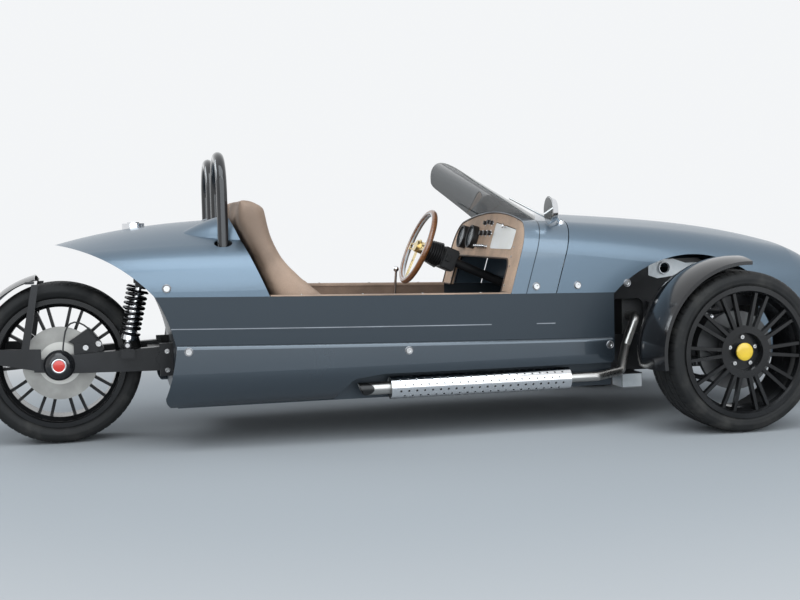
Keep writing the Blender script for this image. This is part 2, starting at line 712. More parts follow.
class CAR_OT_finishes(bpy.types.Operator):
    """Make the materials and give each carried-over piece its own"""

    bl_idname = "car.finishes"
    bl_label = "Finishes"

    def execute(self, context):
        choice = looks()
        upper, leather = tuple(choice.paint_colour), tuple(choice.leather_colour)
        recipes = {
            # roughness, metallic, flake, coat
            "upper_paint": (paint, upper, 0.36, 0.75, 0.35, 0.35),
            "cowl_paint": (seamed_paint, upper, 0.35),
            "tub_paint": (paint, tuple(choice.tub_colour), 0.42, 0.4, 0.25, 0.12),
            "panel_paint": (paint, tuple(choice.panel_colour), 0.26, 0.8, 0.4),
            # alpha, roughness, coat
            "clear_glass": (glazing, (0.85, 0.88, 0.9), 0.35),
            "amber_lens": (glazing, (0.8, 0.28, 0.02), 0.92, 0.1),
            "red_lens": (glazing, (0.5, 0.01, 0.01), 0.95, 0.1),
            "smoked_glass": (glazing, (0.012, 0.02, 0.017), 0.66, 0.02, 0.25),
            "lens_glass": (glazing, (0.9, 0.93, 0.95), 0.22),
            "tan_leather": (hide, leather),
            "brown_leather": (hide, (0.2, 0.13, 0.09)),
            "dark_leather": (hide, (0.075, 0.05, 0.036)),
            "dash_leather": (hide, (0.6, 0.41, 0.285)),
            "wood": (timber, (0.16, 0.06, 0.02)),
            "tyre_rubber": (rubber, (0.012, 0.012, 0.012)),
            # roughness, streak, depth
            "bright_chrome": (metal, (0.82, 0.83, 0.85), 0.08),
            "brushed_alloy": (metal, (0.66, 0.66, 0.65), 0.3, (1, 14, 1)),
            "core_alloy": (metal, (0.3, 0.3, 0.3), 0.5, (1, 1, 40), 0.0006),
            "spring_steel": (metal, (0.28, 0.28, 0.29), 0.35),
            "exhaust_steel": (tail_steel, (0.5, 0.49, 0.47), 0.3),
            "spring_black": (metal, (0.035, 0.035, 0.037), 0.22),
            "brass": (metal, (0.83, 0.66, 0.34), 0.22),
            "bolt_steel": (metal, (0.7, 0.7, 0.7), 0.2),
            "mirror_glass": (metal, (0.9, 0.91, 0.92), 0.07),
            # the axle's place
            "rear_disc_iron": (turned_disc, (0.34, 0.33, 0.31), (REAR_AXLE_X, REAR_AXLE_Z)),
            "front_disc_iron": (turned_disc, (0.13, 0.13, 0.13), (WHEEL_X, FRONT_AXLE_Z)),
            # roughness, grain, depth, metallic, coat, shine
            "black_moulding": (moulded, (0.014, 0.014, 0.015)),
            "frame_black": (moulded, (0.011, 0.011, 0.012), 0.33, 1400.0, 0.0001, 0.0, 0.1, 0.35),
            "guard_black": (moulded, (0.007, 0.007, 0.008), 0.16, 300.0, 0.00003, 0.0, 0.45, 0.35),
            "hoop_black": (moulded, (0.006, 0.006, 0.007), 0.14, 600.0, 0.00002, 0.0, 0.7, 0.3),
            "rim_black": (moulded, (0.008, 0.008, 0.0085), 0.26, 900.0, 0.00004, 0.2, 0.15, 0.35),
            "cast_block": (moulded, (0.07, 0.07, 0.07), 0.6, 260.0, 0.0006, 0.6),
            "cast_knuckle": (moulded, (0.035, 0.035, 0.036), 0.5, 420.0, 0.0004, 0.6),
            "yellow_cap": (moulded, (0.72, 0.45, 0.02), 0.3, 900.0, 0.00003, 0.0, 0.8),
            "red_cap": (moulded, (0.55, 0.02, 0.01), 0.3, 900.0, 0.00003, 0.0, 0.8),
            "stripe": (moulded, (0.24, 0.25, 0.27), 0.4),
            "pale_alloy": (moulded, (0.66, 0.69, 0.71), 0.42, 500.0, 0.0001, 0.35),
            "door_cream": (moulded, (0.93, 0.91, 0.85), 0.34, 700.0, 0.00005, 0.0, 0.3),
            "plate_white": (moulded, (0.6, 0.6, 0.58), 0.4),
            "dial_black": (moulded, (0.01, 0.01, 0.01), 0.25),
            "dial_mark": (moulded, (0.75, 0.74, 0.7), 0.4),
        }
        for name, (maker, *values) in recipes.items():
            FINISHES[name] = maker(name, *values)
        given = {node: name for name, nodes in NODE_FINISHES.items() for node in nodes}
        for node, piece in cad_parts.items():
            dress(piece.data, given[node])
        return {"FINISHED"}


class CAR_OT_bolts(bpy.types.Operator):
    """Set the bolt heads and their cups along the body's sides"""

    bl_idname = "car.bolts"
    bl_label = "Body bolts"

    def execute(self, context):
        places, ways = [], []
        panel_proud = 0.0165
        for x, z, proud in (
            (1.851, 0.582, 0.0),
            (2.029, 0.580, 0.0),
            (2.251, 0.581, 0.0),
            (0.409, 0.622, 0.0),
            (0.481, 0.384, panel_proud),
            (1.318, 0.354, panel_proud),
            (2.163, 0.335, panel_proud),
        ):
            slope = 2 * NARROWING * (x - WIDEST_STATION)
            for side in SIDES:
                way = Vector((slope, side, 0)).normalized()
                places.append(Vector((ahead(x), side * (body_half(x) + proud), z)) + way * 0.0015)
                ways.append(way)
        radius = looks().bolt_radius
        bolts("body_bolts", places, ways, radius, 0.006)
        shares = ((-0.002, 1.45), (0.0, 1.42), (0.0008, 1.3), (0.0, 1.1), (-0.002, 1.02))
        cup = [(along, radius * share) for along, share in shares]
        cups = [(cup, spot - way * 0.001, way, 40) for spot, way in zip(places, ways)]
        turned("bolt_cups", "spring_steel", "chrome", cups)
        return {"FINISHED"}


class CAR_OT_stripes(bpy.types.Operator):
    """Lay the thin stripe along the tub's sides"""

    bl_idname = "car.stripes"
    bl_label = "Stripes"

    def execute(self, context):
        shape = bmesh.new()
        for side in SIDES:
            for start, end in ((0.42, 1.66), (1.85, 1.93)):
                side_bar(shape, side, start, end, max(2, ceil((end - start) / 0.05)), self.section)
        from_bmesh("stripes", shape, "stripe", "slate_paint", angle=None)
        return {"FINISHED"}

    def section(self, x):
        """Outline of the stripe at a station."""
        high, middle, thick = looks().stripe_height / 2, sill(x) - 0.12, 0.0003
        near, far = body_half(x) + thick, body_half(x) + 2 * thick
        return (near, middle - high), (near, middle + high), (far, middle + high), (far, middle - high)


class CAR_OT_tyres(bpy.types.Operator):
    """Mould the treaded tyres"""

    bl_idname = "car.tyres"
    bl_label = "Tyres"

    def execute(self, context):
        front = WHEEL_X, FRONT_AXLE_Z, 0.316, 0.225
        for node, body, y, (x, z, radius, width) in (
            ("front_tyre_right", "front_wheel_right", -FRONT_WHEEL_Y, front),
            ("front_tyre_left", "front_wheel_left", FRONT_WHEEL_Y, front),
            ("rear_tyre", "rear_wheel", 0.0, (REAR_AXLE_X, REAR_AXLE_Z, 0.322, 0.245)),
        ):
            self.mould(node, body, Vector((x, y, z)), radius, width / 2)
        return {"FINISHED"}

    def mould(self, node, body, spot, radius, half):
        """Tyre with ribbed sidewalls, four grooves round it and slots across its shoulders."""
        choice = looks()
        bead, seat, flange = 0.1047, 0.2416, 0.257
        bulge = flange + 0.35 * (radius - flange)
        shoulder, edge = (half - 0.009, radius - 0.012), (half - 0.024, radius - 0.004)
        side = [(bead, seat), (bead, flange)] + arc((bead, flange), (half, bulge), shoulder, 14)
        ribs = {4: 0.0007, 6: -0.0009, 9: 0.0006, 11: -0.0008}
        side = [(u + ribs.get(i, 0.0), r) for i, (u, r) in enumerate(side)] + [edge]
        crown = edge[0] ** 2 / 0.004
        lip, bottom = 0.0052, 0.0036
        tread = []
        for groove in (0.74, 0.26, -0.26, -0.74):
            for step, deep in ((lip, 0), (bottom, 1), (-bottom, 1), (-lip, 0)):
                u = groove * edge[0] + step
                tread.append((u, radius - u * u / crown - deep * choice.tread_depth))
        liner, roof = bead - 0.01, (half - 0.02, radius - 0.016)
        inner = [(liner, seat), (liner, flange + 0.005)]
        inner += arc(inner[-1], (half - 0.011, bulge + 0.002), roof, 6)
        profile = side + tread + [(-u, r) for u, r in reversed(side)] + [(-u, r) for u, r in inner] + inner[::-1]
        first, last = len(side) - 1, len(side) + len(tread)
        shape = bmesh.new()
        rings = []
        steps = choice.tread_blocks * 8
        for k in range(steps):
            slot = choice.tread_depth * 0.6 if k % 8 == 0 else 0.0
            ring = []
            for i, (u, r) in enumerate(profile):
                angle = 2 * pi * k / steps + abs(u) / half * 0.06
                reach = r - (slot if first <= i <= last and abs(u) > 0.3 * half else 0.0)
                ring.append(shape.verts.new(spot + Vector((reach * cos(angle), u, reach * sin(angle)))))
            rings.append(ring)
        for a, b in zip(rings, rings[1:] + rings[:1]):
            join_rows(shape, a, b)
        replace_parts(from_bmesh(node + "_treaded", shape, "tyre_rubber", "tyre", body, 28.0), node)


class CAR_OT_wheel_trim(bpy.types.Operator):
    """Fit the wheel nuts, the hub domes and the caps' coloured faces"""

    bl_idname = "car.wheel_trim"
    bl_label = "Wheel trim"

    def execute(self, context):
        cap = ((-0.006, 0.0345), (0.0004, 0.0345), (0.003, 0.031), (0.0045, 0.02), (0.005, 0.0), (-0.001, 0.0),
               (-0.001, 0.0342))
        nut_ring, nuts = 0.056, 5
        nut_seat, cap_seat, rear_hub = FRONT_WHEEL_Y + 0.064, FRONT_WHEEL_Y + 0.0923, 0.219
        for label, side in NAMED_SIDES:
            body, way = f"front_wheel_{label}", (0, side, 0)
            angles = [pi / 2 + 2 * pi * k / nuts for k in range(nuts)]
            places = [
                (WHEEL_X + nut_ring * cos(a), side * nut_seat, FRONT_AXLE_Z + nut_ring * sin(a)) for a in angles
            ]
            bolts(f"wheel_nuts_{label}", places, [way] * nuts, 0.0076, 0.022, body)
            face = cap, (WHEEL_X, side * cap_seat, FRONT_AXLE_Z), way, 48, False
            turned(f"cap_face_{label}", "yellow_cap", "black_plastic", [face], body)
        dome = ((-0.03, 0.029), (-0.03, 0.05), (-0.024, 0.053), (-0.012, 0.0515), (-0.004, 0.044), (0.0004, 0.034),
                (0.0, 0.029))
        badge = ((-0.002, 0.0), (-0.002, 0.0225), (0.0006, 0.0225), (0.0012, 0.021), (0.0014, 0.0))
        ring = ((-0.004, 0.0225), (-0.004, 0.0285), (0.0012, 0.028), (0.0018, 0.0255), (0.0012, 0.0228))
        for label, side in NAMED_SIDES:
            spot = REAR_AXLE_X, side * rear_hub, REAR_AXLE_Z
            for name, points, steps, closed, look, slot in (
                ("hub_dome", dome, 64, True, "guard_black", "black_paint"),
                ("cap_face", badge, 40, False, "red_cap", "red_glass"),
                ("cap_ring", ring, 48, True, "bright_chrome", "chrome"),
            ):
                turned(f"rear_{name}_{label}", look, slot, [(points, spot, (0, side, 0), steps, closed)])
        return {"FINISHED"}


def spring_unit(shapes, foot, top, coil_radius, wire, turns, low, high):
    """One coil-over: its coil, plated damper and dark eyes, with the coil from low to high of its length."""
    coil, bright, dark = shapes
    eye, eye_half, eye_radius = (0, 1, 0), 0.0195, 0.0138
    length = (top - foot).length
    way = (top - foot).normalized()
    turn = way.to_track_quat("Z", "Y").to_matrix()
    base, head = low * length, high * length
    start, rise = base + wire + 0.003, head - base - 2 * wire - 0.006
    spread, steps, path = coil_radius - wire, int(turns * 28), []
    for k in range(steps + 1):
        share = k / steps
        angle = 2 * pi * turns * share
        eased = share - 0.5 * sin(2 * pi * share) / (2 * pi) / turns
        path.append(foot + turn @ Vector((spread * cos(angle), spread * sin(angle), start + rise * eased)))
    tube(coil, path, wire)
    c = coil_radius
    for end, out, brim in ((base, -1, c), (head, 1, 0.9 * c)):
        outside, inside = end + out * 0.006, end - out * 0.003
        cup = [(outside, 0.3 * c), (outside, brim), (end, c + 0.002), (inside, c), (inside, 0.3 * c)]
        lathe(coil, cup, foot, way, 40)
    rod, body = 0.28 * c, 0.64 * c
    damper = [(base - 0.03, 0.5 * body), (base - 0.028, body * 1.1), (base - 0.004, body * 1.1)]
    along = base
    while along < 0.55 * (base + head):
        ridge = ((0.0, 1.0), (0.006, 1.0), (0.007, 0.86), (0.011, 0.86))
        damper += [(along + step, body * share) for step, share in ridge]
        along += 0.012
    damper += [(along, body * 1.05), (along + 0.01, body * 1.05), (along + 0.012, rod), (length - 0.012, rod)]
    damper += [(length - 0.012, 0.004), (base - 0.03, 0.004)]
    lathe(bright, damper, foot, way, 40)
    bush = ((-eye_half, 0.006), (-eye_half, eye_radius), (eye_half, eye_radius), (eye_half, 0.006))
    tip = eye_half + 0.004
    pin = ((-tip, 0.0), (-tip, 0.0085), (-eye_half, 0.009), (eye_half, 0.009), (tip, 0.0085), (tip, 0.0))
    for end, inward in ((foot, 0.03), (top, -0.03)):
        lathe(dark, bush, end, eye, 28)
        lathe(bright, pin, end, eye, 12, False)
        tube(bright, [end, end + way * inward], 0.0105, 20)


class CAR_OT_springs(bpy.types.Operator):
    """Wind the coil springs round their dampers, front and rear"""

    bl_idname = "car.springs"
    bl_label = "Springs and dampers"

    def execute(self, context):
        turns, front_x = looks().spring_turns, ahead(2.648)
        for node, foot, top, *sizes in (
            ("rear_shocks", (ahead(0.262), 0.21, 0.392), (ahead(0.318), 0.21, 0.634), 0.04, 0.0058, turns, 0.2, 0.86),
            ("front_coilovers", (front_x, 0.52, 0.219), (front_x, 0.3203, 0.63), 0.036, 0.005, turns, 0.34, 0.88),
        ):
            shapes = [bmesh.new() for _ in range(3)]
            for side in SIDES:
                flip = Vector((1, side, 1))
                spring_unit(shapes, Vector(foot) * flip, Vector(top) * flip, *sizes)
                if node == "rear_shocks":
                    low, high = sorted((side * 0.1853, side * 0.2353))
                    verts = box_of(shapes[2], (ahead(0.235), low, 0.34), (ahead(0.29), high, 0.378))
                    round_edges(shapes[2], verts, 0.004, 2)
            names = (("coils", "spring_black"), ("dampers", "bright_chrome"), ("eyes", "frame_black"))
            for shape, (label, look) in zip(shapes, names):
                piece = from_bmesh(f"{node}_{label}", shape, look, "spring_steel", angle=40.0)
                if label == "coils":
                    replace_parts(piece, node)
        return {"FINISHED"}


class CAR_OT_shields(bpy.types.Operator):
    """Roll the perforated exhaust shields"""

    bl_idname = "car.shields"
    bl_label = "Exhaust shields"
    rows = 12

    def execute(self, context):
        choice = looks()
        start, end, margin = ahead(1.248), ahead(1.984), 0.02
        pitch = (end - start - 2 * margin) / choice.shield_holes
        shape = bmesh.new()
        places, ways = [], []
        for side in SIDES:
            for row in range(self.rows):
                angle = 2 * pi * (row + 0.5) / self.rows
                for col in range(choice.shield_holes - row % 2):
                    x = start + margin + (col + 0.5 + 0.5 * (row % 2)) * pitch
                    places.append((x, side * SHIELD_Y, SHIELD_Z))
                    ways.append((0, sin(angle), cos(angle)))
                if row % 2:
                    for x in (start + margin, end - margin - pitch / 2):
                        self.patch(shape, side, x, x + pitch / 2, row, row + 1)
            for low, high, face in ((start, start + margin, start), (end - margin, end, end)):
                self.patch(shape, side, low, high, 0, self.rows)
                for step in range(self.rows * 4):
                    a, b = step / 4, (step + 1) / 4
                    ends = ((a, 0.0), (b, 0.0), (b, SHIELD_WALL), (a, SHIELD_WALL))
                    shape.faces.new([self.spot(shape, side, face, share, deep) for share, deep in ends])
        cell = bpy.data.objects.new("shield_cell", self.cell(pitch, choice.hole_radius))
        context.scene.collection.objects.link(cell)
        cells = repeated("shield_cells", places, ways, "bright_chrome", self.form, {"Cell": cell})
        bpy.data.objects.remove(cell)
        shape.from_mesh(cells)
        bpy.data.meshes.remove(cells)
        bmesh.ops.remove_doubles(shape, verts=shape.verts, dist=2e-5)
        piece = from_bmesh("perforated_shields", shape, "bright_chrome", "chrome", angle=180.0)
        outward = []
        for vert in piece.data.vertices:
            across = vert.co - Vector((vert.co.x, SHIELD_Y if vert.co.y > 0 else -SHIELD_Y, SHIELD_Z))
            outside = across.length > SHIELD_RADIUS - SHIELD_WALL / 2
            outward.append(across.normalized() * (1 if outside else -1))
        piece.data.normals_split_custom_set_from_vertices(outward)
        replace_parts(piece, "exhaust_shields")
        return {"FINISHED"}

    def form(self, made, entry):
        """The cell that the places repeat."""
        return made.node("GeometryNodeObjectInfo", {}, {"Object": entry.beside("Cell")}, "Geometry")

    def spot(self, shape, side, x, share, deep):
        """Point of the tube's skin at a share of its rows, on its outside or deep in its wall."""
        angle, reach = 2 * pi * share / self.rows, SHIELD_RADIUS - deep
        y, z = (side * SHIELD_Y, SHIELD_Z) if side else (0.0, 0.0)
        return shape.verts.new((x, y + reach * sin(angle), z + reach * cos(angle)))

    def patch(self, shape, side, low, high, first, last):
        """Plain outside and inside of the tube between two places along it."""
        for deep in (0.0, SHIELD_WALL):
            for step in range((last - first) * 4):
                a, b = first + step / 4, first + (step + 1) / 4
                corners = ((low, a), (high, a), (high, b), (low, b))
                shape.faces.new([self.spot(shape, side, x, share, deep) for x, share in corners])

    def cell(self, pitch, hole_radius):
        """Curved cell of the tube round its own axis, pierced by one hole."""
        shape = bmesh.new()
        corners = ((-0.5, -0.5), (0.5, -0.5), (0.5, 0.5), (-0.5, 0.5))
        edge, hole = [], []
        for (ax, ay), (bx, by) in zip(corners, corners[1:] + corners[:1]):
            edge += [(pitch * (ax + (bx - ax) * i / 4), ay + (by - ay) * i / 4) for i in range(4)]
        arc_length = 2 * pi * SHIELD_RADIUS / self.rows
        for i in range(16):
            angle = pi * 5 / 4 + 2 * pi * i / 16
            hole.append((hole_radius * cos(angle), hole_radius * sin(angle) / arc_length))
        lips = []
        for deep in (0.0, SHIELD_WALL):
            outer, lip = ([self.spot(shape, 0, x, share, deep) for x, share in loop] for loop in (edge, hole))
            join_rows(shape, outer, lip)
            lips.append(lip)
        join_rows(shape, *lips)
        mesh = bpy.data.meshes.new("shield_cell")
        shape.to_mesh(mesh)
        shape.free()
        return mesh


class CAR_OT_dials(bpy.types.Operator):
    """Fit the gauges' faces, the bezels, the toggle switches and the dashboard's screws"""

    bl_idname = "car.dials"
    bl_label = "Dials and switches"

    def execute(self, context):
        marks = bmesh.new()
        gauges, gauge_up, switch_up, ring_end = (0.178, 0.322), 0.226, 0.186, 0.043
        face = ((0.0087, 0.0), (0.0087, 0.0465), (0.0083, 0.0465), (0.0083, 0.0))
        bezel = ((0.0243, 0.0455), (0.0243, 0.0535), (0.0285, 0.0525), (0.0295, 0.049), (0.0275, 0.0455))
        pane = ((0.0225, 0.0), (0.022, 0.03), (0.0205, 0.0465), (0.02, 0.0465), (0.0215, 0.03), (0.022, 0.0))
        boss = ((0.0095, 0.0), (0.0095, 0.006), (0.0135, 0.005), (0.0135, 0.0))
        for across in gauges:
            for k in range(41):
                long, wide = (0.008, 0.0009) if k % 5 == 0 else (0.0045, 0.0005)
                angle = radians(-225 + 270 * k / 40)
                self.bar(marks, across, gauge_up, angle, ring_end - long, ring_end, wide, 0.0088, 0.0093)
            self.bar(marks, across, gauge_up, radians(-120), -0.008, 0.034, 0.0012, 0.0095, 0.0105)
        toggle = ((-0.0002, 0.0052), (-0.0002, 0.0095), (0.0035, 0.0095), (0.0045, 0.0085), (0.0045, 0.0065),
                  (0.009, 0.0056), (0.021, 0.0066), (0.0245, 0.0052), (0.0255, 0.0), (0.02, 0.0))
        switches = [
            (toggle, on_dash(across, switch_up, 0.0), DASH_OUT, 24, False) for across in (0.09, 0.06, 0.03, 0.0, -0.03)
        ]
        for across, up, radius in (
            (0.06, 0.292, 0.009), (0.01, 0.296, 0.009), (-0.034, 0.292, 0.009),
            (0.08, 0.246, 0.011), (0.02, 0.246, 0.011), (-0.04, 0.246, 0.011),
        ):
            collar = ((-0.0002, radius), (-0.0002, radius + 0.004), (0.003, radius + 0.0035), (0.004, radius))
            switches.append((collar, on_dash(across, up, 0.0), DASH_OUT, 32))
        spots = [on_dash(across, gauge_up, 0.0) for across in gauges]
        turned("dial_faces", "dial_black", "black_plastic", [(face, spot, DASH_OUT, 48, False) for spot in spots])
        from_bmesh("dial_marks", marks, "dial_mark", "lamp_glass", angle=None)
        rings = [
            (points, spot, DASH_OUT, steps, closed)
            for spot in spots for points, steps, closed in ((bezel, 64, True), (boss, 24, False))
        ]
        turned("dial_bezels", "black_moulding", "black_plastic", rings)
        turned("dial_glass", "lens_glass", "lamp_glass", [(pane, spot, DASH_OUT, 40, False) for spot in spots])
        turned("toggle_switches", "bright_chrome", "chrome", switches)
        screws = ((0.402, 0.03), (0.404, 0.11), (0.4, 0.19), (0.36, 0.305), (0.15, 0.333), (0.395, 0.15))
        places = [on_dash(side * across, up, 0.001) for side in SIDES for across, up in screws]
        bolts("dash_screws", places, [DASH_OUT] * len(places), 0.0045, 0.003)
        return {"FINISHED"}

    def bar(self, shape, across, up, angle, start, end, half, low, high):
        """Thin radial bar on a dial."""
        corners = []
        for out in (low, high):
            for along, aside in ((start, -half), (end, -half), (end, half), (start, half)):
                y = across + along * cos(angle) - aside * sin(angle)
                z = up - along * sin(angle) - aside * cos(angle)
                corners.append(shape.verts.new(on_dash(y, z, out)))
        bar_through(shape, (corners[:4], corners[4:]))


class CAR_OT_lamps(bpy.types.Operator):
    """Fit the headlamps and the mirrors' glass"""

    bl_idname = "car.lamps"
    bl_label = "Lamps and mirrors"

    def execute(self, context):
        shell = ((-0.13, 0.0), (-0.13, 0.045), (-0.11, 0.066), (-0.07, 0.0775), (-0.004, 0.0775), (0.0, 0.076),
                 (0.0, 0.069), (-0.006, 0.0665), (-0.1, 0.0445), (-0.12, 0.0))
        bowl = ((-0.085, 0.0), (-0.084, 0.012), (-0.074, 0.03), (-0.05, 0.049), (-0.02, 0.062), (-0.007, 0.066),
                (-0.009, 0.0665), (-0.022, 0.063), (-0.052, 0.05), (-0.076, 0.031), (-0.087, 0.0))
        bulb = ((-0.084, 0.0), (-0.084, 0.008), (-0.04, 0.008), (-0.035, 0.0))
        lens = ((-0.001, 0.0), (-0.0015, 0.03), (-0.003, 0.055), (-0.0055, 0.067), (-0.0075, 0.067), (-0.005, 0.055),
                (-0.0035, 0.03), (-0.003, 0.0))
        mirror = ((0.0006, 0.0), (0.0006, 0.053), (-0.0004, 0.0545), (-0.0016, 0.053), (-0.002, 0.0))
        lamps = [(ahead(3.214), side * 0.262, 0.548) for side in SIDES]
        mounts = [(ahead(1.925), side * 0.47, 0.882) for side in SIDES]
        for name, look, slot, spots, profiles in (
            ("headlamp_shells", "bright_chrome", "chrome", lamps, ((shell, 64),)),
            ("headlamp_bowls", "bright_chrome", "chrome", lamps, ((bowl, 64), (bulb, 24))),
            ("headlamp_lenses", "lens_glass", "lamp_glass", lamps, ((lens, 64),)),
            ("mirror_faces", "mirror_glass", "chrome", mounts, ((mirror, 64),)),
        ):
            turns = [(points, spot, (1, 0, 0), steps, False) for spot in spots for points, steps in profiles]
            piece = turned(name, look, slot, turns)
            if profiles[0][0] is shell:
                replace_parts(piece, "headlamps")
        return {"FINISHED"}


class CAR_OT_lining(bpy.types.Operator):
    """Line the cockpit's walls and cap its sills with leather"""

    bl_idname = "car.lining"
    bl_label = "Cockpit lining"

    def execute(self, context):
        rear, front = 0.793, 1.742
        for name, section, look, angle in (
            ("wall_lining", self.wall, "brown_leather", 30.0),
            ("sill_caps", self.cap, "tan_leather", 50.0),
        ):
            shape = bmesh.new()
            for side in SIDES:
                side_bar(shape, side, rear, front, 24, section)
            from_bmesh(name, shape, look, "tan_leather", angle=angle)
        stations = [rear + (front - rear) * share / 8 for share in (1, 3, 5, 7)]
        screws = [
            (ahead(x), side * (body_half(x) - WALL / 2), sill(x) + 0.0052) for side in SIDES for x in stations
        ]
        bolts("sill_screws", screws, [(0, 0, 1)] * len(screws), 0.005, 0.003)
        return {"FINISHED"}

    def wall(self, x):
        """Outline of the leather on the wall's inner face at a station."""
        inner, top = body_half(x) - WALL, sill(x)
        return (
            (inner, 0.3), (inner - 0.0022, 0.3), (inner - 0.003, 0.36), (inner - 0.003, top - 0.012),
            (inner - 0.002, top - 0.001), (inner, top - 0.001),
        )

    def cap(self, x):
        """Outline of the leather over the sill at a station."""
        inner, outer, top = body_half(x) - WALL, body_half(x) + 0.0006, sill(x)
        return (
            (inner - 0.006, top - 0.008), (inner - 0.0066, top + 0.0005), (inner - 0.004, top + 0.0035),
            (inner + 0.01, top + 0.0045), (outer - 0.008, top + 0.0045), (outer - 0.0015, top + 0.0035),
            (outer, top + 0.0015), (outer, top + 0.0002), (inner - 0.002, top + 0.0002),
            (inner - 0.003, top - 0.008),
        )


class CAR_OT_brackets(bpy.types.Operator):
    """Fit the pale brackets in the wheel arches and the bare number plate"""

    bl_idname = "car.brackets"
    bl_label = "Arch brackets and plate"

    def execute(self, context):
        shape = bmesh.new()
        outline = ((2.43, 0.6), (2.43, 0.64), (2.455, 0.667), (2.545, 0.667), (2.6, 0.648), (2.66, 0.648), (2.66, 0.63),
                   (2.6, 0.622), (2.54, 0.594), (2.47, 0.586))
        (hole_x, hole_z), radius, low, high = (2.5, 0.63), 0.0225, 0.3003, 0.3043
        edge, rim = [], []
        for (ax, az), (bx, bz) in zip(outline, outline[1:] + outline[:1]):
            edge += [(ax + (bx - ax) * step / 4, az + (bz - az) * step / 4) for step in range(4)]
        for x, z in edge:
            angle = atan2(z - hole_z, x - hole_x)
            rim.append((hole_x + radius * cos(angle), hole_z + radius * sin(angle)))
        collar = ((-0.004, 0.0228), (-0.004, 0.0268), (0.012, 0.0268), (0.012, 0.0228))
        for side in SIDES:
            near, far = (
                [[shape.verts.new((ahead(x), side * y, z)) for x, z in loop] for loop in (edge, rim)]
                for y in (low, high)
            )
            for a, b in (near, far, (near[0], far[0]), (near[1], far[1])):
                join_rows(shape, a, b)
            lathe(shape, collar, (ahead(hole_x), side * high, hole_z), (0, side, 0), 40)
        from_bmesh("arch_brackets", shape, "pale_alloy", "brushed_metal")
        plate = bmesh.new()
        verts = box_of(plate, (-1.8305, -0.118, 0.309), (-1.8292, 0.118, 0.435))
        round_edges(plate, verts, 0.01, 4, lambda edge: abs(edge.verts[0].co.x - edge.verts[1].co.x) > 1e-4)
        from_bmesh("bare_plate", plate, "plate_white", "black_plastic", angle=30.0)
        return {"FINISHED"}


class CAR_OT_column(bpy.types.Operator):
    """Fit the steering column's ribbed boot and housing, and the wheel rim's bright inlay"""

    bl_idname = "car.column"
    bl_label = "Steering column trim"

    def execute(self, context):
        way = Vector((-cos(radians(24)), 0, sin(radians(24))))
        centre = Vector((ahead(1.564), 0.25, 0.738))
        profile, along = [(-0.03, 0.0365)], -0.034
        for k in range(7):
            wide = 0.05 + 0.0016 * k
            rib = ((0.0, 0.006), (0.0025, 0.0), (0.0065, 0.0), (0.009, 0.006))
            profile += [(along - step, wide - sunk) for step, sunk in rib]
            along -= 0.0105
        profile += [(along, 0.0365), (along, 0.03), (-0.03, 0.03)]
        housing = bmesh.new()
        verts = box_of(housing, (-0.047, -0.05, -0.182), (0.047, 0.05, -0.112))
        verts += box_of(housing, (-0.055, -0.018, -0.15), (-0.043, 0.018, -0.122))
        round_edges(housing, verts, 0.006, 3)
        across = Vector((0, 1, 0))
        turn = Matrix((across, way.cross(across), way)).transposed()
        bmesh.ops.transform(housing, matrix=Matrix.Translation(centre) @ turn.to_4x4(), verts=housing.verts)
        grip, rim, angle = 0.013, 0.166, radians(58)
        strip = ((-0.0016, -0.0012), (0.0016, -0.0016), (0.0012, 0.0014), (-0.0012, 0.0014))
        band = ((-0.004, -0.0012), (0.004, -0.0012), (0.004, 0.002), (-0.004, 0.002))
        turned("column_boot", "black_moulding", "black_plastic", [(profile, centre, way, 56)], angle=30.0)
        from_bmesh("column_housing", housing, "black_moulding", "black_plastic", angle=30.0)
        inlays = [(side * grip * sin(angle), rim - grip * cos(angle)) for side in SIDES]
        for name, shape, spots in (("wheel_inlay", strip, inlays), ("wheel_inner_band", band, [(0.0, rim - grip)])):
            turns = [([(u + along, r + out) for u, r in shape], centre, way, 160) for along, out in spots]
            turned(name, "pale_alloy", "wood", turns, "steering_wheel")
        return {"FINISHED"}


class CAR_OT_edging(bpy.types.Operator):
    """Run the bead round the dashboard and fit the pads on the jacking beam"""

    bl_idname = "car.edging"
    bl_label = "Edging and pads"

    def execute(self, context):
        bead, pads = bmesh.new(), bmesh.new()
        path = outer_loop("dashboard", DASH_OUT)
        even = [path[0]]
        for a, b in zip(path, path[1:]):
            pieces = max(1, round((b - a).length / 0.02))
            even += [a.lerp(b, k / pieces) for k in range(1, pieces + 1)]
        tube(bead, [spot + DASH_OUT * 0.0005 for spot in even], 0.0038)
        from_bmesh("dash_bead", bead, "dark_leather", "tan_leather", angle=60.0)
        for side in SIDES:
            low, high = sorted((side * 0.3, side * 0.4012))
            verts = box_of(pads, (ahead(2.2608), low, 0.1388), (ahead(2.3532), high, 0.1995))
            round_edges(pads, verts, 0.003, 2)
        from_bmesh("jacking_pads", pads, "pale_alloy", "brushed_metal", angle=30.0)
        return {"FINISHED"}


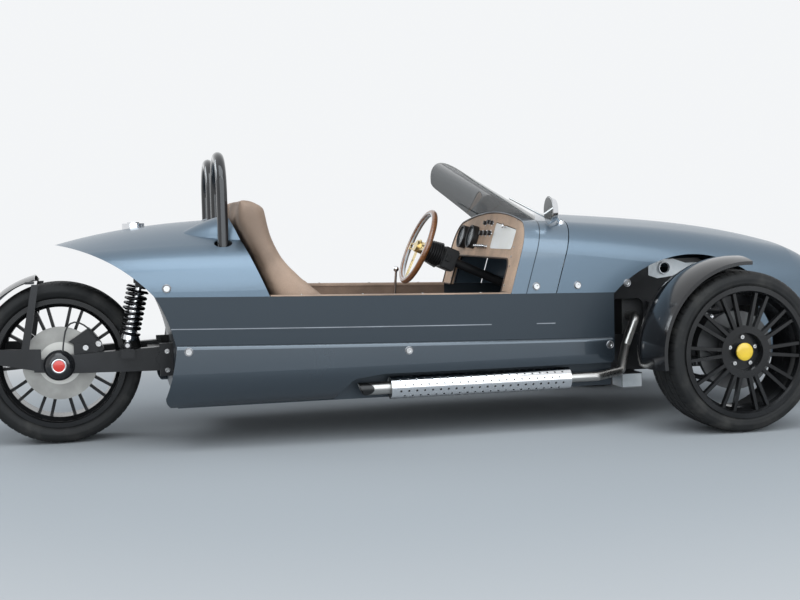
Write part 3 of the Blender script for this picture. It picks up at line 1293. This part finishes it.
class CAR_OT_fixings(bpy.types.Operator):
    """Set the swingarm's bolts, the rear brake's bolts, union and line and the glovebox door's knob"""

    bl_idname = "car.fixings"
    bl_label = "Small fixings"

    def execute(self, context):
        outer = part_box("swingarm")[1][1] + 0.001
        spots = ((-1.1345, 0.3605), (-0.985, 0.36), (-0.985, 0.285))
        places = [(x, side * outer, z) for side in SIDES for x, z in spots]
        bolts("swingarm_bolts", places, [(0, side, 0) for side in SIDES for _ in spots], 0.0095, 0.006)
        places = ((-1.2968, -0.1878, 0.387), (-1.2476, -0.1405, 0.3954))
        bolts("caliper_bolts", places, [(0, -1, 0)] * 2, 0.0105, 0.007)
        collar = ((0.0, 0.0), (0.0, 0.013), (0.0095, 0.0125), (0.0112, 0.0105), (0.0112, 0.0))
        union = collar, (-1.2476, -0.1285, 0.3954), (0, -1, 0), 32, False
        turned("brake_union", "brushed_alloy", "chrome", [union])
        line = bmesh.new()
        path = ((-1.2476, -0.134, 0.3954), (-1.252, -0.137, 0.414), (-1.262, -0.138, 0.431), (-1.278, -0.138, 0.452),
                (-1.301, -0.138, 0.4718), (-1.319, -0.138, 0.4815), (-1.3368, -0.138, 0.485), (-1.353, -0.139, 0.48),
                (-1.3644, -0.143, 0.469), (-1.373, -0.152, 0.45), (-1.378, -0.165, 0.425), (-1.382, -0.18, 0.395),
                (-1.384, -0.195, 0.365))
        tube(line, path, 0.0032, 12)
        from_bmesh("brake_line", line, "black_moulding", "black_plastic")
        knob = ((0.0, 0.0), (0.0, 0.0068), (0.0085, 0.0068), (0.0112, 0.0098), (0.0145, 0.0106), (0.0172, 0.009),
                (0.0184, 0.0052), (0.0188, 0.0))
        grip = knob, on_dash(-0.222, 0.276, 0.0), DASH_OUT, 32, False
        turned("door_knob", "bright_chrome", "chrome", [grip], "glovebox_door")
        return {"FINISHED"}


class CAR_OT_seats(bpy.types.Operator):
    """Pad the seat backs and cushions by a short inflation of their covers, then sew them"""

    bl_idname = "car.seats"
    bl_label = "Seats"

    def execute(self, context):
        choice = looks()
        for node, swell, easing in (
            ("seat_backs", choice.back_swell, 60), ("seat_cushions", choice.cushion_swell, 30),
        ):
            for label, side in NAMED_SIDES:
                piece = self.cover(node, f"{node[:-1]}_{label}", side, easing)
                self.inflate(piece, swell)
                finer = piece.modifiers.new("finer", "SUBSURF")
                finer.levels = finer.render_levels = 1
                self.settle(piece)
                self.sew(piece, node, side)
                if side < 0:
                    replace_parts(piece, node)
        return {"FINISHED"}

    def cover(self, node, name, side, easing):
        """Even, softened cover of the CAD form on a side of the car."""
        whole = bmesh.new()
        whole.from_mesh(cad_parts[node].data)
        away = [vert for vert in whole.verts if vert.co.y * side < 0]
        bmesh.ops.delete(whole, geom=away, context="VERTS")
        bmesh.ops.remove_doubles(whole, verts=whole.verts, dist=1e-5)
        mesh = bpy.data.meshes.new(name)
        whole.to_mesh(mesh)
        whole.free()
        piece = add_piece(name, mesh, "tan_leather", "tan_leather", "chassis", None)
        bpy.context.view_layer.objects.active = piece
        remesh = piece.modifiers.new("cover", "REMESH")
        remesh.mode, remesh.voxel_size = "VOXEL", looks().cover_mesh
        ease = piece.modifiers.new("ease", "SMOOTH")
        ease.factor, ease.iterations = 0.5, easing
        self.settle(piece)
        return piece

    def inflate(self, piece, swell):
        """Swells the cover by cloth under pressure, no further than a limit."""
        rest = [vert.co.copy() for vert in piece.data.vertices]
        cloth = piece.modifiers.new("padding", "CLOTH")
        settings = cloth.settings
        settings.use_pressure, settings.uniform_pressure_force = True, 4.0
        settings.quality = 4
        settings.tension_stiffness = settings.compression_stiffness = 12.0
        settings.bending_stiffness = 0.4
        settings.effector_weights.gravity = 0.0
        cloth.collision_settings.use_collision = False
        frames = 20
        cloth.point_cache.frame_start, cloth.point_cache.frame_end = 1, frames
        for step in range(1, frames + 1):
            bpy.context.scene.frame_set(step)
        self.settle(piece)
        bpy.context.scene.frame_set(1)
        for vert, start in zip(piece.data.vertices, rest):
            move = vert.co - start
            if move.length > swell:
                vert.co = start + move.normalized() * swell

    def settle(self, piece):
        """Applies the modifiers to the mesh."""
        view = bpy.context.evaluated_depsgraph_get()
        view.update()
        made = bpy.data.meshes.new_from_object(piece.evaluated_get(view))
        piece.modifiers.clear()
        old, piece.data = piece.data, made
        bpy.data.meshes.remove(old)
        dress(made, "tan_leather")
        made.shade_smooth()

    def sew(self, piece, node, side):
        """Sinks the seams into the cover: channels, and on a back the two long seams beside them."""
        back = node == "seat_backs"
        panel, pitch = 0.163, 0.081 if back else 0.1
        moves = []
        for vert in piece.data.vertices:
            aside, out = vert.co.y - side * 0.247, vert.normal
            depth = 0.0
            if back and abs(aside) < panel + 0.02 and out.x > 0.3:
                depth = self.seam(abs(aside) - panel, 0.006, 0.008)
            if abs(aside) < panel and out.x > 0.3 if back else out.z > 0.3:
                channels = (self.seam(aside - k * pitch, 0.0045, 0.009) for k in (-1.5, -0.5, 0.5, 1.5))
                depth = max(depth, *channels)
            moves.append(-out * depth)
        for vert, move in zip(piece.data.vertices, moves):
            vert.co += move

    def seam(self, gap, deep, wide):
        """Depth of a seam at a distance from its middle."""
        return deep * max(0.0, 1 - (gap / wide) ** 2)


OPERATORS = (
    CAR_OT_stage, CAR_OT_finishes, CAR_OT_bolts, CAR_OT_stripes, CAR_OT_tyres, CAR_OT_wheel_trim, CAR_OT_springs,
    CAR_OT_shields, CAR_OT_dials, CAR_OT_lamps, CAR_OT_lining, CAR_OT_brackets, CAR_OT_column, CAR_OT_edging,
    CAR_OT_fixings, CAR_OT_seats,
)


class CAR_PT_build(bpy.types.Panel):
    """Sizes, colours and the steps that build the car's finish"""

    bl_label = "Roadster"
    bl_idname = "CAR_PT_build"
    bl_space_type = "VIEW_3D"
    bl_region_type = "UI"
    bl_category = "Roadster"

    def draw(self, context):
        column = self.layout.column()
        for group in (context.scene.car_looks, context.scene.studio_looks):
            for key in group.bl_rna.properties.keys():
                if key not in {"rna_type", "name"}:
                    column.prop(group, key)
        for operator in OPERATORS:
            column.operator(operator.bl_idname)


CLASSES = (CarLooks, StudioLooks, *OPERATORS, CAR_PT_build)


def register():
    for item in CLASSES:
        bpy.utils.register_class(item)
    bpy.types.Scene.car_looks = bpy.props.PointerProperty(type=CarLooks)
    bpy.types.Scene.studio_looks = bpy.props.PointerProperty(type=StudioLooks)


def unregister():
    del bpy.types.Scene.studio_looks
    del bpy.types.Scene.car_looks
    for item in reversed(CLASSES):
        bpy.utils.unregister_class(item)


def main():
    register()
    for operator in OPERATORS:
        group, name = operator.bl_idname.split(".")
        getattr(getattr(bpy.ops, group), name)()


if __name__ == "__main__":
    main()
